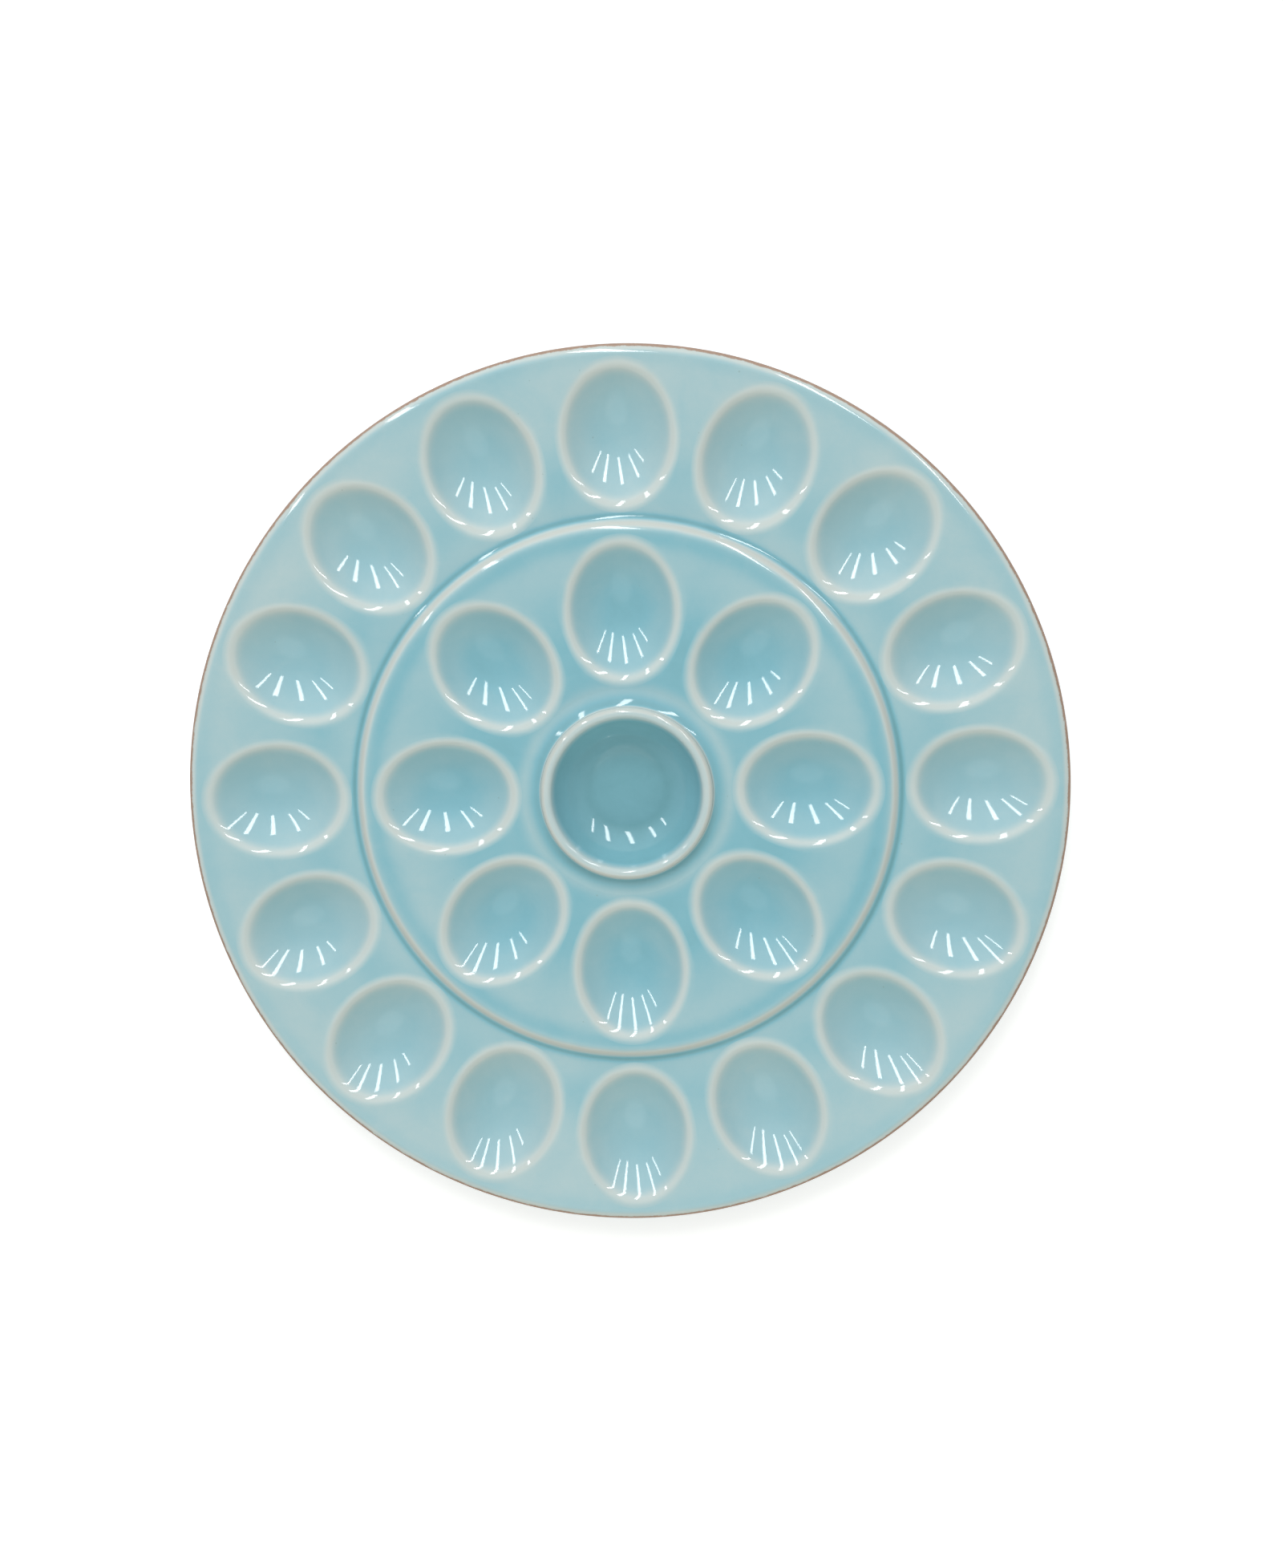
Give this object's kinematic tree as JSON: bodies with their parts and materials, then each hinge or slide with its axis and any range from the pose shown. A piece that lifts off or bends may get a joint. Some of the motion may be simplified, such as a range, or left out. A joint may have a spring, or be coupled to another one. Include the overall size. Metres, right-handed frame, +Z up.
{
  "type": "deviled egg platter",
  "caption": "Round glazed platter with two rings of egg wells round a raised dip cup.",
  "frame": {"origin": "middle of the foot ring's standing face, on the table", "axes": "+Z up out of the platter's face, +Y through the first well of each ring"},
  "size_m": [0.4063, 0.4064, 0.03],
  "materials": {
    "aqua_glaze": "gloss",
    "worn_rim_glaze": "gloss",
    "bare_clay": "matte"
  },
  "bodies": {
    "root": {"dip_cup": "aqua_glaze", "inner_well_01": "aqua_glaze", "inner_well_02": "aqua_glaze", "inner_well_03": "aqua_glaze", "inner_well_04": "aqua_glaze", "inner_well_05": "aqua_glaze", "inner_well_06": "aqua_glaze", "inner_well_07": "aqua_glaze", "inner_well_08": "aqua_glaze", "divider_ridge": "aqua_glaze", "foot_ring": "bare_clay", "outer_well_01": "aqua_glaze", "outer_well_02": "aqua_glaze", "outer_well_03": "aqua_glaze", "outer_well_04": "aqua_glaze", "outer_well_05": "aqua_glaze", "outer_well_06": "aqua_glaze", "outer_well_07": "aqua_glaze", "outer_well_08": "aqua_glaze", "outer_well_09": "aqua_glaze", "outer_well_10": "aqua_glaze", "outer_well_11": "aqua_glaze", "outer_well_12": "aqua_glaze", "outer_well_13": "aqua_glaze", "outer_well_14": "aqua_glaze", "outer_well_15": "aqua_glaze", "outer_well_16": "aqua_glaze", "rim_edge": "worn_rim_glaze"}
  },
  "joints": []
}
